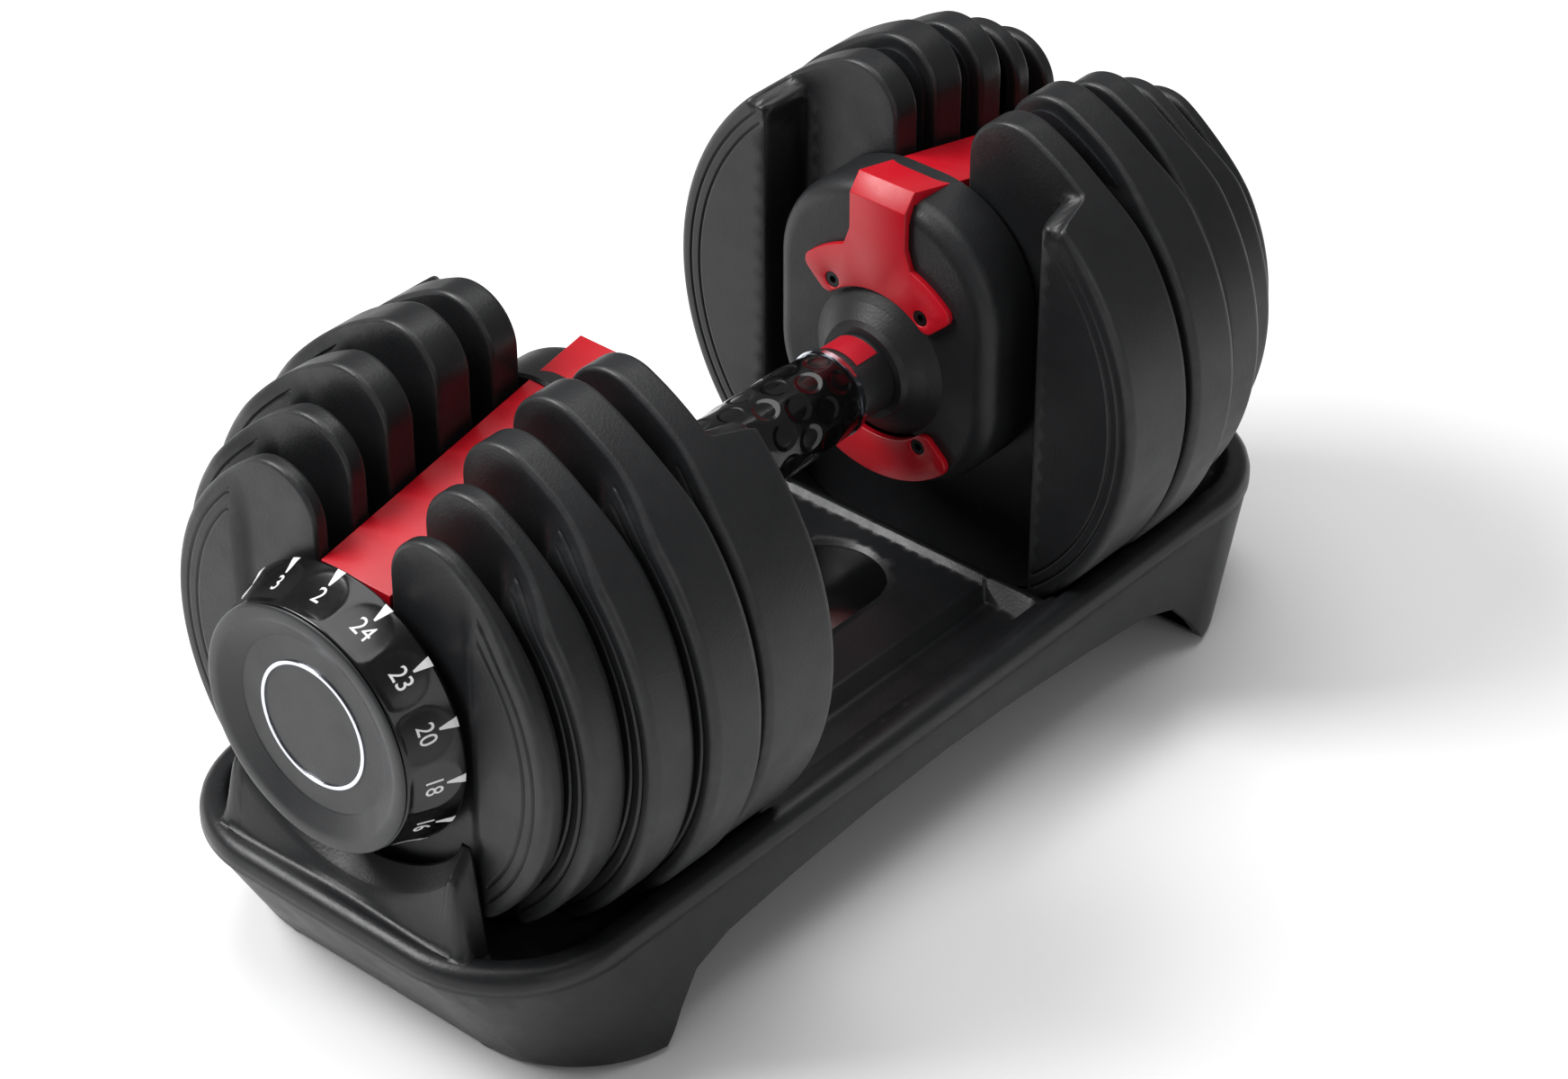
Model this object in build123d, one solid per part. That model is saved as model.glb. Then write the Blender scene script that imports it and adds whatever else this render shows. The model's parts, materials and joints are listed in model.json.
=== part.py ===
from build123d import *
import math
import os

os.makedirs("parts", exist_ok=True)

# Frame: X along the handle, Z up, origin at the centre of the footprint on the floor. Millimetres.

# Overall
AXLE_Z = 122.0             # height of the handle axis above the floor
DIAL_FACE_X = 208.5        # outer face of each dial
FIT = 0.3                  # clearance between neighbours that never touch
RUN = 0.05                 # radial running clearance of a turning fit

# Plates, one row per plate from the grip outwards: name, radius, inner face, outer face, crescent height
PLATES = (
    ("e", 101.0, 93.0, 105.0, 4.0),
    ("d", 102.0, 111.5, 129.5, 5.0),
    ("c", 97.0, 137.0, 151.5, 5.0),
    ("b", 88.8, 159.0, 168.0, 6.5),
    ("a", 80.4, 177.0, 183.5, 2.7),
)
SLOT_HALF = 15.6           # half width of the slot the handle lifts out of
HORN_R = 18.0              # rounding of each horn beside the slot
CRES_CHORD = (58.0, 55.0, 53.0, 51.0, 49.0)  # where the raised crescent starts, grip outwards
CRES_ROUND = 1.6           # rounding of every plate rim
GROOVE_INSET = (6.5, 12.5)  # the two moulded lines on each crescent
GROOVE_W = 0.8
GROOVE_DEPTH = 0.6
GROOVE_START = 3.0         # where the lines begin, inside the crescent
INNER_CRES = 17.0          # how far the largest plate's inner crescent stands towards the grip
INNER_NOTCH = 77.0         # height above the axis at which that crescent is stepped off
SKIN = 1.5                 # moulded skin over the steel core
CORE_INSET = 5.0
TAB_R = (36.0, 41.0)       # lifting tab on the outer face
TAB_ANGLE = (32.0, 46.0)   # measured from straight up
TAB_H = 1.8

# Dial and selector
DIAL_BACK_X = 187.0
DIAL_BACK_R = 49.0
DIAL_EDGE = 1.2            # rounding at the back of the band
DIAL_FRONT_X = 207.0
DIAL_FRONT_R = 43.0
DIAL_BORE_R = 38.0
DIAL_WEB = 4.0
SCALLOPS = 15
SCALLOP_R = 16.0
SCALLOP_DEPTH = 1.0
COVER_BACK_X = 202.5
COVER_SHOULDER = 1.4       # rounding at the outer edge of the front
COVER_DISH_R = (38.0, 31.0)
COVER_DISH = 3.6           # depth of the dished front
CENTRE_STEP = 0.4
TRIM_R = 22.4
TRIM_W = 1.5
TRIM_SEAT = 0.6
TRIM_PROUD = 0.6
SLEEVE_R = 10.5
DISC_R = 34.5
DISC_T = 2.6
DISC_LIP = 4.5
DISC_LIP_H = 1.8
LIP_ROOT = 0.5             # how far a raised lip runs into what carries it
DISC_HOLES = 6
DISC_HOLE_R = 3.5
DISC_HOLE_PITCH_R = 21.0
DISC_GAP = 0.7             # disc back face to the plate behind it
DISC_CAMS = ((3, 96.0), (2, 150.0), (5, 44.0), (3, 60.0), (1, 180.0))  # lips per disc and their arc
BOLT_HEAD_R = 6.0
BOLT_R = 4.0
BOLT_REACH = 12.0
BOLT_WASHER = 1.5
BOLT_HEAD = 4.5
BOLT_HEX_R = 3.0

# Handle
TUBE_R = 8.0
TUBE_END_X = DIAL_BACK_X + DIAL_WEB + FIT
GRIP_HALF = 38.5
GRIP_R = 16.6
GRIP_WAIST = 0.9           # how much slimmer the grip ends are
RING_W = 2.6
RING_R = 16.2
RING_ROUND = 0.8
NECK_END_X = 57.0
NECK_R = 14.6
LABEL_X = (44.5, 55.0)
LABEL_HALF_ANGLE = 34.0
LABEL_T = 0.8
LABEL_PROUD = 0.15
CAP_X = (66.5, 92.2)       # face towards the grip, back against the largest plate
CAP_HALF_W = 47.5
CAP_REACH = (46.0, 66.5)   # below and above the axis
CAP_CORNER = 41.0
CAP_ROUND = 7.0
CAP_CHAMFER = 1.0
HUB_R = (17.5, 23.5, 28.6)  # cone from neck to cap
HUB_LIP = 2.5
HUB_FLARE = 3.0            # last part of the cone, which flares into the cap

# Bridge
BRIDGE_T = 5.0
BRIDGE_RISE = (70.5, 43.5)  # top of the strap above the axis, at the cap and at the dial
BRIDGE_HALF = (12.0, 14.8)
FOLD = (5.0, 6.5)          # sloped facet where the strap folds down the cap
LEG_X = (177.4, 182.9)
LEG_HALF = 14.0
LEG_BOTTOM = 14.0          # below the axle
YOKE_T = 2.6
YOKE_R = (29.0, 45.0)
YOKE_HALF_ANGLE = 48.0
YOKE_TIP_R = 4.0
FLARE = (18.0, 50.0)        # foot half width in the yoke, and where it meets the strap
SCREW_Y = 19.4
SCREW_Z = 26.2             # above and below the axle
SCREW_R = 3.0
SCREW_SHANK_R = 1.8
SCREW_REACH = 9.0
SCREW_SUNK = 0.4
SCREW_HEX = (1.5, 1.4)      # socket radius and depth

# Stand
STAND_HALF = (207.0, 84.0)     # at the parting line
STAND_CORNER = 46.0
FOOT_HALF = (182.0, 90.0)
FOOT_CORNER = 47.0
PART_Z = 45.0
RIM_Z = 53.5
RIM_ROLL = 5.5
RIM_OVERHANG = 0.5
RIM_W = 11.5
SHELF_Z = 48.5
WALL = 3.5
WELL_CLEAR = 0.4           # plate edge to trough
WELL_END = 1.5             # room past the innermost and outermost plate faces
DECK_HALF = (70.0, 46.0)
DECK_Z = 46.0
CHANNEL_HALF = 68.0
CHANNEL_Z = 39.5
OVAL_HALF = (60.0, 22.0)
OVAL_DEPTH = 3.0
PANEL_T = 1.4
ARCH = ((146.0, 0.0), (137.0, 13.0), (128.0, 23.0), (112.0, 28.0), (80.0, 31.0), (40.0, 33.5), (0.0, 34.5))
BASE_FLOOR = (2.2, 5.0)
SADDLE_R = 57.0
SADDLE_PEAK = (49.0, 33.0)     # half spacing of the peaks, and how far below the axis
SADDLE_X = (187.8, 192.5)
SADDLE_TOE = (198.5, 59.0)     # outer end and half width at shelf height
FOOT_PAD_R = 10.0
FOOT_PAD_T = 3.0
FOOT_POS = (171.0, 43.0)
SCREW_POS = (158.0, 64.0)
BOSS_R = 5.0
BASE_SCREW_R = (1.7, 3.6)      # shank and head
BASE_SCREW_HEAD = 1.6
BASE_SCREW_REACH = 18.0


def disc_x(radius, x0, x1, y=0.0, z=AXLE_Z):
    """A cylinder along X between two stations."""
    plane = Plane(origin=(x0, y, z), x_dir=(0, 1, 0), z_dir=(1, 0, 0))
    return extrude(plane * Circle(radius), amount=x1 - x0)


def prism_x(sketch, x0, x1):
    """A sketch drawn in (Y, Z about the axle), pushed along X."""
    x0, x1 = min(x0, x1), max(x0, x1)
    plane = Plane(origin=(x0, 0, AXLE_Z), x_dir=(0, 1, 0), z_dir=(1, 0, 0))
    return extrude(plane * sketch, amount=x1 - x0)


def box(x0, x1, y0, y1, z0, z1):
    return Pos((x0 + x1) / 2, (y0 + y1) / 2, (z0 + z1) / 2) * Box(x1 - x0, y1 - y0, z1 - z0)


def sector(r0, r1, centre_deg, half_deg):
    """Part of a ring, angles measured from straight up towards +Y."""
    reach = 2 * r1
    a0, a1 = (math.radians(90 - centre_deg + s * half_deg) for s in (-1, 1))
    wedge = Polygon((0, 0), (reach * math.cos(a0), reach * math.sin(a0)),
                    (reach * math.cos((a0 + a1) / 2), reach * math.sin((a0 + a1) / 2)),
                    (reach * math.cos(a1), reach * math.sin(a1)), align=None)
    return (Circle(r1) - Circle(r0)) & wedge


def revolve_x(points):
    """Turn an (x, radius) outline about the handle axis."""
    outline = Plane.XZ * Polygon(*points, align=None)
    return Pos(0, 0, AXLE_Z) * revolve(outline, axis=Axis.X)


def end_edges(part, x):
    return part.edges().filter_by_position(Axis.X, x - 0.01, x + 0.01)


def slotted(radius, half, corner):
    """Round plate outline with the open slot and rounded horns."""
    face = Circle(radius) - Pos(0, radius) * Rectangle(2 * half, 2 * radius) - Circle(half)
    tips = [v for v in face.vertices() if v.Y > radius * 0.7 and abs(abs(v.X) - half) < 0.01]
    return fillet(tips, corner)


def crescent(radius, chord, drop=None):
    face = Circle(radius) - Rectangle(2 * chord, 3 * radius)
    if drop is not None:
        face -= Pos(0, drop + radius) * Rectangle(4 * radius, 2 * radius)
    return face


def plate_sides(index):
    """The two raised crescents, full thickness, with rounded rims and moulded lines."""
    name, radius, x_in, x_out, rise = PLATES[index]
    chord = CRES_CHORD[index]
    low = x_in - INNER_CRES if index == 0 else x_in
    high = x_out + rise
    round_disc = disc_x(radius, low, high)
    round_disc = fillet(end_edges(round_disc, low) + end_edges(round_disc, high), CRES_ROUND)
    part = round_disc - box(low - 1, high + 1, -chord, chord, -radius, 2 * AXLE_Z + radius)
    if index == 0:
        part -= box(low - 1, x_in, -2 * radius, 2 * radius, AXLE_Z + INNER_NOTCH, 2 * AXLE_Z + radius)
    faces = [(high, 1)] + ([(low, -1)] if index == 0 else [])
    for x, out in faces:
        for inset in GROOVE_INSET:
            top = INNER_NOTCH - GROOVE_START if out < 0 else None
            line = crescent(radius - inset, chord + GROOVE_START, top)
            line -= Circle(radius - inset - GROOVE_W)
            part -= prism_x(line, x - out * GROOVE_DEPTH, x + out)
    return part


def plate_shell(index):
    name, radius, x_in, x_out, rise = PLATES[index]
    chord = CRES_CHORD[index]
    middle = prism_x(slotted(radius, SLOT_HALF, HORN_R), x_in, x_out)
    middle = fillet(end_edges(middle, x_in) + end_edges(middle, x_out), CRES_ROUND)
    middle = middle & box(x_in - 1, x_out + 1, -chord, chord, -radius, 2 * AXLE_Z + radius)
    body = middle + plate_sides(index)
    for side in (-1, 1):
        tab = sector(*TAB_R, side * sum(TAB_ANGLE) / 2, (TAB_ANGLE[1] - TAB_ANGLE[0]) / 2)
        body += prism_x(tab, x_out - 0.5, x_out + TAB_H)
    return body - plate_core(index)


def plate_core(index):
    """Steel slab sealed in the shell, thickened into the crescents."""
    name, radius, x_in, x_out, rise = PLATES[index]
    inner = radius - CORE_INSET
    core = prism_x(slotted(inner, SLOT_HALF + CORE_INSET, HORN_R - CORE_INSET), x_in + SKIN, x_out - SKIN)
    chord = CRES_CHORD[index] + CORE_INSET
    face = crescent(inner - CORE_INSET, chord)
    core += prism_x(face, x_out - SKIN - 0.5, x_out + rise - 2 * SKIN)
    if index == 0:
        face = crescent(inner - CORE_INSET, chord, INNER_NOTCH - CORE_INSET)
        core += prism_x(face, x_in + SKIN + 0.5, x_in - INNER_CRES + 2 * SKIN)
    return core


def dial():
    """Numbered band with its web, and the lip that picks up the smallest plate."""
    web_x = DIAL_BACK_X + DIAL_WEB
    outer = revolve_x([(DIAL_BACK_X, SLEEVE_R), (DIAL_BACK_X, DIAL_BACK_R - DIAL_EDGE),
                       (DIAL_BACK_X + DIAL_EDGE, DIAL_BACK_R), (DIAL_FRONT_X, DIAL_FRONT_R),
                       (DIAL_FRONT_X, SLEEVE_R)])
    hollow = disc_x(DIAL_BORE_R, web_x, DIAL_FRONT_X + 1)
    body = outer - hollow
    run = DIAL_FRONT_X - DIAL_BACK_X
    tilt = math.degrees(math.atan2(DIAL_BACK_R - DIAL_FRONT_R, run))
    middle_r = (DIAL_BACK_R + DIAL_FRONT_R) / 2
    for i in range(SCALLOPS):
        scallop = Rot(0, 90 + tilt, 0) * Cylinder(SCALLOP_R, 3 * run)
        scallop = Pos(DIAL_BACK_X + run / 2, 0, middle_r + SCALLOP_R - SCALLOP_DEPTH) * scallop
        body -= Pos(0, 0, AXLE_Z) * Rot(360 / SCALLOPS * i, 0, 0) * scallop
    lips, arc = DISC_CAMS[-1]
    return body + cam_lips(lips, arc, DIAL_BACK_X + LIP_ROOT, DIAL_BACK_X - DISC_LIP_H)


def cam_lips(count, arc, x0, x1):
    """Raised arcs near a disc's rim that reach under a plate's lifting tabs."""
    lips = [sector(DISC_R - DISC_LIP, DISC_R, 360 / count * i, arc / 2) for i in range(count)]
    face = lips[0]
    for lip in lips[1:]:
        face += lip
    return prism_x(face, x0, x1)


def trim_ring(x0, x1):
    return disc_x(TRIM_R, x0, x1) - disc_x(TRIM_R - TRIM_W, x0, x1)


def dial_cover():
    """Satin front of the dial, dished towards its centre, with a plug that fits the bore."""
    plug_r = DIAL_BORE_R - FIT
    dish_x = DIAL_FACE_X - COVER_DISH
    body = revolve_x([(COVER_BACK_X, 0.0), (COVER_BACK_X, plug_r), (DIAL_FRONT_X, plug_r),
                      (DIAL_FRONT_X, DIAL_FRONT_R), (DIAL_FACE_X - COVER_SHOULDER / 2, DIAL_FRONT_R),
                      (DIAL_FACE_X, DIAL_FRONT_R - COVER_SHOULDER), (DIAL_FACE_X, COVER_DISH_R[0]),
                      (dish_x, COVER_DISH_R[1]), (dish_x - CENTRE_STEP, COVER_DISH_R[1] - CENTRE_STEP),
                      (dish_x - CENTRE_STEP, 0.0)])
    floor_x = dish_x - CENTRE_STEP
    return body - trim_ring(floor_x - TRIM_SEAT, floor_x + 1)


def dial_trim():
    floor_x = DIAL_FACE_X - COVER_DISH - CENTRE_STEP
    ring = trim_ring(floor_x - TRIM_SEAT, floor_x + TRIM_PROUD)
    return chamfer(end_edges(ring, floor_x + TRIM_PROUD), TRIM_PROUD / 2)


def sleeve():
    """Tube that carries the selector discs and turns on the handle tube."""
    x0 = CAP_X[1] + FIT
    x1 = DIAL_BACK_X + DIAL_WEB
    return disc_x(SLEEVE_R, x0, x1) - disc_x(TUBE_R + RUN, x0, x1)


def selector_disc(index):
    """Disc that sits just outside one plate and lifts it when a lip is turned under its tabs."""
    x_plate = PLATES[index][3]
    x_far = PLATES[index + 1][2]
    x1 = x_far - DISC_GAP
    x0 = x1 - DISC_T
    body = disc_x(DISC_R, x0, x1) - disc_x(SLEEVE_R, x0, x1)
    for i in range(DISC_HOLES):
        a = 2 * math.pi * (i + 0.5) / DISC_HOLES
        y, z = DISC_HOLE_PITCH_R * math.cos(a), DISC_HOLE_PITCH_R * math.sin(a)
        body -= disc_x(DISC_HOLE_R, x0, x1, y=y, z=AXLE_Z + z)
    lips, arc = DISC_CAMS[index]
    tip = max(x_plate + DISC_GAP, x0 - DISC_LIP_H)
    return body + cam_lips(lips, arc, x0 + LIP_ROOT, tip)


def axle_bolt():
    """Shoulder bolt and washer that hold the dial on the tube end."""
    x0 = TUBE_END_X
    x_head = x0 + BOLT_WASHER
    washer = disc_x(SLEEVE_R - FIT, x0, x_head)
    head = disc_x(BOLT_HEAD_R, x_head, x_head + BOLT_HEAD)
    socket = prism_x(RegularPolygon(BOLT_HEX_R, 6), x_head + BOLT_HEAD / 3, x_head + BOLT_HEAD + 1)
    shank = disc_x(BOLT_R, x0 - BOLT_REACH, x0)
    return washer + head + shank - socket


def handle_tube():
    tube = disc_x(TUBE_R, -TUBE_END_X, TUBE_END_X)
    for side in (-1, 1):
        x0, x1 = sorted((side * (TUBE_END_X - BOLT_REACH), side * (TUBE_END_X + 1)))
        tube -= disc_x(BOLT_R, x0, x1)
    return tube


def grip():
    shoulder_x, shoulder_r = GRIP_HALF / 2, GRIP_R - GRIP_WAIST / 4
    return revolve_x([(-GRIP_HALF, TUBE_R), (-GRIP_HALF, GRIP_R - GRIP_WAIST), (-shoulder_x, shoulder_r),
                      (0, GRIP_R), (shoulder_x, shoulder_r), (GRIP_HALF, GRIP_R - GRIP_WAIST),
                      (GRIP_HALF, TUBE_R)])


def grip_ring():
    x0 = GRIP_HALF
    ring = disc_x(RING_R, x0, x0 + RING_W) - disc_x(TUBE_R, x0, x0 + RING_W)
    return fillet(end_edges(ring, x0 + RING_W).sort_by(SortBy.RADIUS)[-1:], RING_ROUND)


def neck_collar():
    x0 = GRIP_HALF + RING_W
    body = disc_x(NECK_R, x0, NECK_END_X) - disc_x(TUBE_R, x0, NECK_END_X)
    return body - label_blank()


def label_blank():
    face = sector(NECK_R - LABEL_T, NECK_R + 2, 0, LABEL_HALF_ANGLE)
    return prism_x(face, *LABEL_X)


def neck_label():
    face = sector(NECK_R - LABEL_T, NECK_R + LABEL_PROUD, 0, LABEL_HALF_ANGLE)
    return prism_x(face, *LABEL_X)


def cap_outline(grow=0.0):
    height = CAP_REACH[0] + CAP_REACH[1]
    centre = (CAP_REACH[1] - CAP_REACH[0]) / 2
    return Pos(0, centre) * RectangleRounded(2 * (CAP_HALF_W + grow), height + 2 * grow, CAP_CORNER + grow)


def inner_cap():
    """Moulded cover between grip and plates, with the conical hub."""
    body = prism_x(cap_outline(), *CAP_X)
    body = fillet(end_edges(body, CAP_X[0]), CAP_ROUND)
    body = chamfer(end_edges(body, CAP_X[1]), CAP_CHAMFER)
    lip_r = HUB_R[0] + HUB_LIP * 0.4
    body += revolve_x([(NECK_END_X, 0), (NECK_END_X, HUB_R[0]), (NECK_END_X + HUB_LIP, lip_r),
                       (CAP_X[0] - HUB_FLARE, HUB_R[1]), (CAP_X[0] + 0.5, HUB_R[2]), (CAP_X[0] + 0.5, 0)])
    body -= disc_x(TUBE_R, NECK_END_X - 1, CAP_X[1] + 1)
    for y in (-SCREW_Y, SCREW_Y):
        for z in (-SCREW_Z, SCREW_Z):
            body -= disc_x(SCREW_SHANK_R, CAP_X[0] - 1, CAP_X[0] + SCREW_REACH + FIT, y=y, z=AXLE_Z + z)
    return body - bridge_solid()


def yoke_face():
    """Curved foot of the bridge, concentric with the axle."""
    face = sector(*YOKE_R, 0, YOKE_HALF_ANGLE)
    return fillet(face.vertices(), YOKE_TIP_R)


def bridge_solid():
    """Folded strap: foot on the cap face, sloping beam over the slots, leg in the smallest plate's slot."""
    x_face = CAP_X[0] - YOKE_T
    top, low = (AXLE_Z + rise for rise in BRIDGE_RISE)
    foot_z = AXLE_Z + YOKE_R[1] - BRIDGE_T
    side = Plane.XZ * Polygon(
        (x_face, top - FOLD[1]), (x_face + FOLD[0], top), (LEG_X[1], low), (LEG_X[1], low - BRIDGE_T),
        (x_face + FOLD[0], top - BRIDGE_T), (x_face + YOKE_T, top - FOLD[1] - BRIDGE_T),
        (x_face + YOKE_T, foot_z), (x_face, foot_z), align=None)
    slab = extrude(side, amount=2 * BRIDGE_HALF[1], both=True)
    plan = Polygon((x_face - 1, -BRIDGE_HALF[0]), (LEG_X[1] + 1, -BRIDGE_HALF[1]),
                   (LEG_X[1] + 1, BRIDGE_HALF[1]), (x_face - 1, BRIDGE_HALF[0]), align=None)
    trimmed = slab & extrude(plan, amount=2 * AXLE_Z)
    flare = Polygon((-FLARE[0], YOKE_R[0] + YOKE_TIP_R), (FLARE[0], YOKE_R[0] + YOKE_TIP_R),
                    (BRIDGE_HALF[0], FLARE[1]), (-BRIDGE_HALF[0], FLARE[1]), align=None)
    foot = prism_x(yoke_face() + flare, x_face, x_face + YOKE_T)
    leg_top = low - AXLE_Z - BRIDGE_T / 2
    leg = Pos(0, leg_top / 2) * Rectangle(2 * LEG_HALF, leg_top) + Circle(LEG_BOTTOM)
    leg = prism_x(leg, *LEG_X) - disc_x(SLEEVE_R + RUN, LEG_X[0] - 1, LEG_X[1] + 1)
    return trimmed + foot + leg


def bridge():
    body = bridge_solid()
    for y in (-SCREW_Y, SCREW_Y):
        body -= disc_x(SCREW_R, CAP_X[0] - YOKE_T - 1, CAP_X[0] + 0.5, y=y, z=AXLE_Z + SCREW_Z)
    return body


def lower_yoke():
    face = Rot(0, 0, 180) * yoke_face()
    body = prism_x(face, CAP_X[0] - YOKE_T, CAP_X[0])
    for y in (-SCREW_Y, SCREW_Y):
        body -= disc_x(SCREW_R, CAP_X[0] - YOKE_T - 1, CAP_X[0] + 1, y=y, z=AXLE_Z - SCREW_Z)
    return body


def cap_screw(y, z):
    x = CAP_X[0] - YOKE_T + SCREW_SUNK
    head = disc_x(SCREW_R, x, CAP_X[0], y=y, z=z)
    shank = disc_x(SCREW_SHANK_R, CAP_X[0], CAP_X[0] + SCREW_REACH, y=y, z=z)
    plane = Plane(origin=(x, y, z), x_dir=(0, 1, 0), z_dir=(1, 0, 0))
    return head + shank - extrude(plane * RegularPolygon(SCREW_HEX[0], 6), amount=SCREW_HEX[1])


def rim_half():
    return STAND_HALF[0] + RIM_OVERHANG, STAND_HALF[1] + RIM_OVERHANG


def rounded(half, corner, inset=0.0):
    return RectangleRounded(2 * (half[0] - inset), 2 * (half[1] - inset), corner - inset)


def well(grow, x_grow):
    """Troughs for both plate stacks, one step per plate radius."""
    cuts = []
    for i, (name, radius, x_in, x_out, rise) in enumerate(PLATES):
        low = x_in - INNER_CRES - WELL_END if i == 0 else high
        last = i == len(PLATES) - 1
        high = x_out + rise + WELL_END / 2 if last else (x_out + rise + PLATES[i + 1][2]) / 2
        first = x_grow if i == 0 else 0.0
        cuts.append(disc_x(radius + WELL_CLEAR + grow, low - first, high + x_grow))
    side = cuts[0]
    for cut in cuts[1:]:
        side += cut
    return side + mirror(side, about=Plane.YZ)


def saddle():
    """Raised rest under one dial, sloping down to the end of the tray."""
    y, z = SADDLE_PEAK[0], -SADDLE_PEAK[1]
    toe = SADDLE_TOE[1]
    low = SHELF_Z - WALL - AXLE_Z
    profile = Polygon((-toe, low), (toe, low), (y, z), (-y, z), align=None) - Circle(SADDLE_R)
    block = prism_x(profile, SADDLE_X[0], SADDLE_TOE[0])
    top = AXLE_Z - SADDLE_PEAK[1] + 1
    slope = Plane.XZ * Polygon((SADDLE_X[1], top), (SADDLE_TOE[0] + 9, top),
                               (SADDLE_TOE[0] + 9, SHELF_Z), (SADDLE_TOE[0] - 1, SHELF_Z), align=None)
    block -= extrude(slope, amount=2 * toe, both=True)
    return block & extrude(rounded(rim_half(), STAND_CORNER, RIM_W - 1), amount=AXLE_Z)


def stand_tray():
    """Upper moulding: rolled rim, shelf, troughs, centre deck and a rest under each dial."""
    body = Pos(0, 0, PART_Z) * extrude(rounded(rim_half(), STAND_CORNER), amount=RIM_Z - PART_Z)
    body = fillet(body.edges().group_by(Axis.Z)[-1], RIM_ROLL)
    body -= Pos(0, 0, SHELF_Z) * extrude(rounded(rim_half(), STAND_CORNER, RIM_W), amount=RIM_Z)
    under = rounded(rim_half(), STAND_CORNER, WALL + RIM_OVERHANG)
    body -= Pos(0, 0, PART_Z - 1) * extrude(under, amount=SHELF_Z - WALL - PART_Z + 1)
    below = box(-400, 400, -200, 200, -50, SHELF_Z)
    x_end = PLATES[0][2] - INNER_CRES - WELL_END
    body += well(WALL, WALL) & below
    body += box(-x_end - 1, x_end + 1, -CHANNEL_HALF - WALL, CHANNEL_HALF + WALL, CHANNEL_Z - WALL, SHELF_Z)
    channel_x = x_end - WALL
    body -= box(-channel_x, channel_x, -CHANNEL_HALF, CHANNEL_HALF, CHANNEL_Z, RIM_Z + 40)
    body += box(-channel_x - 1, channel_x + 1, -DECK_HALF[1], DECK_HALF[1], CHANNEL_Z - WALL, DECK_Z)
    body -= box(-channel_x + WALL, channel_x - WALL, -DECK_HALF[1] + WALL, DECK_HALF[1] - WALL,
                CHANNEL_Z - WALL - 1, DECK_Z - OVAL_DEPTH - WALL)
    body -= Pos(0, 0, DECK_Z - OVAL_DEPTH) * extrude(oval(), amount=OVAL_DEPTH + 1)
    for side in (-1, 1):
        x0, x1 = sorted((side * channel_x, side * x_end))
        body += box(x0, x1, -CHANNEL_HALF, CHANNEL_HALF, CHANNEL_Z, SHELF_Z)
    body += saddle() + mirror(saddle(), about=Plane.YZ)
    for x in (-SCREW_POS[0], SCREW_POS[0]):
        for y in (-SCREW_POS[1], SCREW_POS[1]):
            body += Pos(x, y, BASE_FLOOR[1]) * extrude(Circle(BOSS_R), amount=SHELF_Z - 1 - BASE_FLOOR[1])
            bore = extrude(Circle(BASE_SCREW_R[0]), amount=BASE_SCREW_REACH + BASE_FLOOR[1])
            body -= Pos(x, y, BASE_FLOOR[1] - 1) * bore
    return body - well(0.0, 0.0)


def oval(inset=0.0):
    return SlotOverall(2 * (OVAL_HALF[0] - inset), 2 * (OVAL_HALF[1] - inset))


def badge_panel():
    panel = Pos(0, 0, DECK_Z - OVAL_DEPTH) * extrude(oval(FIT), amount=PANEL_T)
    return chamfer(panel.edges().group_by(Axis.Z)[-1], PANEL_T / 4)


def arch_cut():
    outline = [(-x, z) for x, z in ARCH] + list(reversed(ARCH))[1:]
    start, end = ARCH[0]
    side = Plane.XZ * Polygon((-start, end - 1), *outline, (start, end - 1), align=None)
    return extrude(side, amount=2 * STAND_HALF[1], both=True)


def tapered(inset):
    low = Pos(0, 0, BASE_FLOOR[0]) * rounded(FOOT_HALF, FOOT_CORNER, inset)
    high = Pos(0, 0, PART_Z) * rounded(STAND_HALF, STAND_CORNER, inset)
    return loft([low, high])


def stand_base():
    """Tapered skirt with an arch along each side and a floor at each end."""
    body = tapered(0.0) - tapered(WALL)
    ends = extrude(rounded(FOOT_HALF, FOOT_CORNER, WALL / 2), amount=BASE_FLOOR[1] - BASE_FLOOR[0])
    body += Pos(0, 0, BASE_FLOOR[0]) * ends
    body -= arch_cut()
    for x in (-1, 1):
        for y in (-1, 1):
            spot = Pos(x * SCREW_POS[0], y * SCREW_POS[1], 0)
            body -= spot * extrude(Circle(BASE_SCREW_R[0] + FIT), amount=2 * BASE_FLOOR[1])
            body -= spot * extrude(Circle(BASE_SCREW_R[1] + FIT), amount=BASE_FLOOR[0] + BASE_SCREW_HEAD)
            body -= Pos(x * FOOT_POS[0], y * FOOT_POS[1], 0) * extrude(Circle(FOOT_PAD_R), amount=FOOT_PAD_T)
    return body


def stand_foot(x, y):
    pad = Pos(x, y, 0) * extrude(Circle(FOOT_PAD_R), amount=FOOT_PAD_T)
    return chamfer(pad.edges().group_by(Axis.Z)[0], FOOT_PAD_T / 5)


def base_screw(x, y):
    z_head = BASE_FLOOR[0] + BASE_SCREW_HEAD
    place = Pos(x, y, z_head - BASE_SCREW_HEAD)
    head = place * extrude(Circle(BASE_SCREW_R[1]), amount=BASE_SCREW_HEAD)
    shank = Pos(x, y, z_head) * extrude(Circle(BASE_SCREW_R[0]), amount=BASE_SCREW_REACH)
    slot_w, slot_l = BASE_SCREW_R[0] / 2, BASE_SCREW_R[1]
    cross = place * (Box(slot_l, slot_w, BASE_SCREW_HEAD) + Box(slot_w, slot_l, BASE_SCREW_HEAD))
    return head + shank - cross


def save(name, *parts):
    solids = [s for part in parts for s in part.solids()]
    shape = solids[0] if len(solids) == 1 else Compound(children=solids)
    export_step(shape, f"parts/{name}.step")


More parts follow.
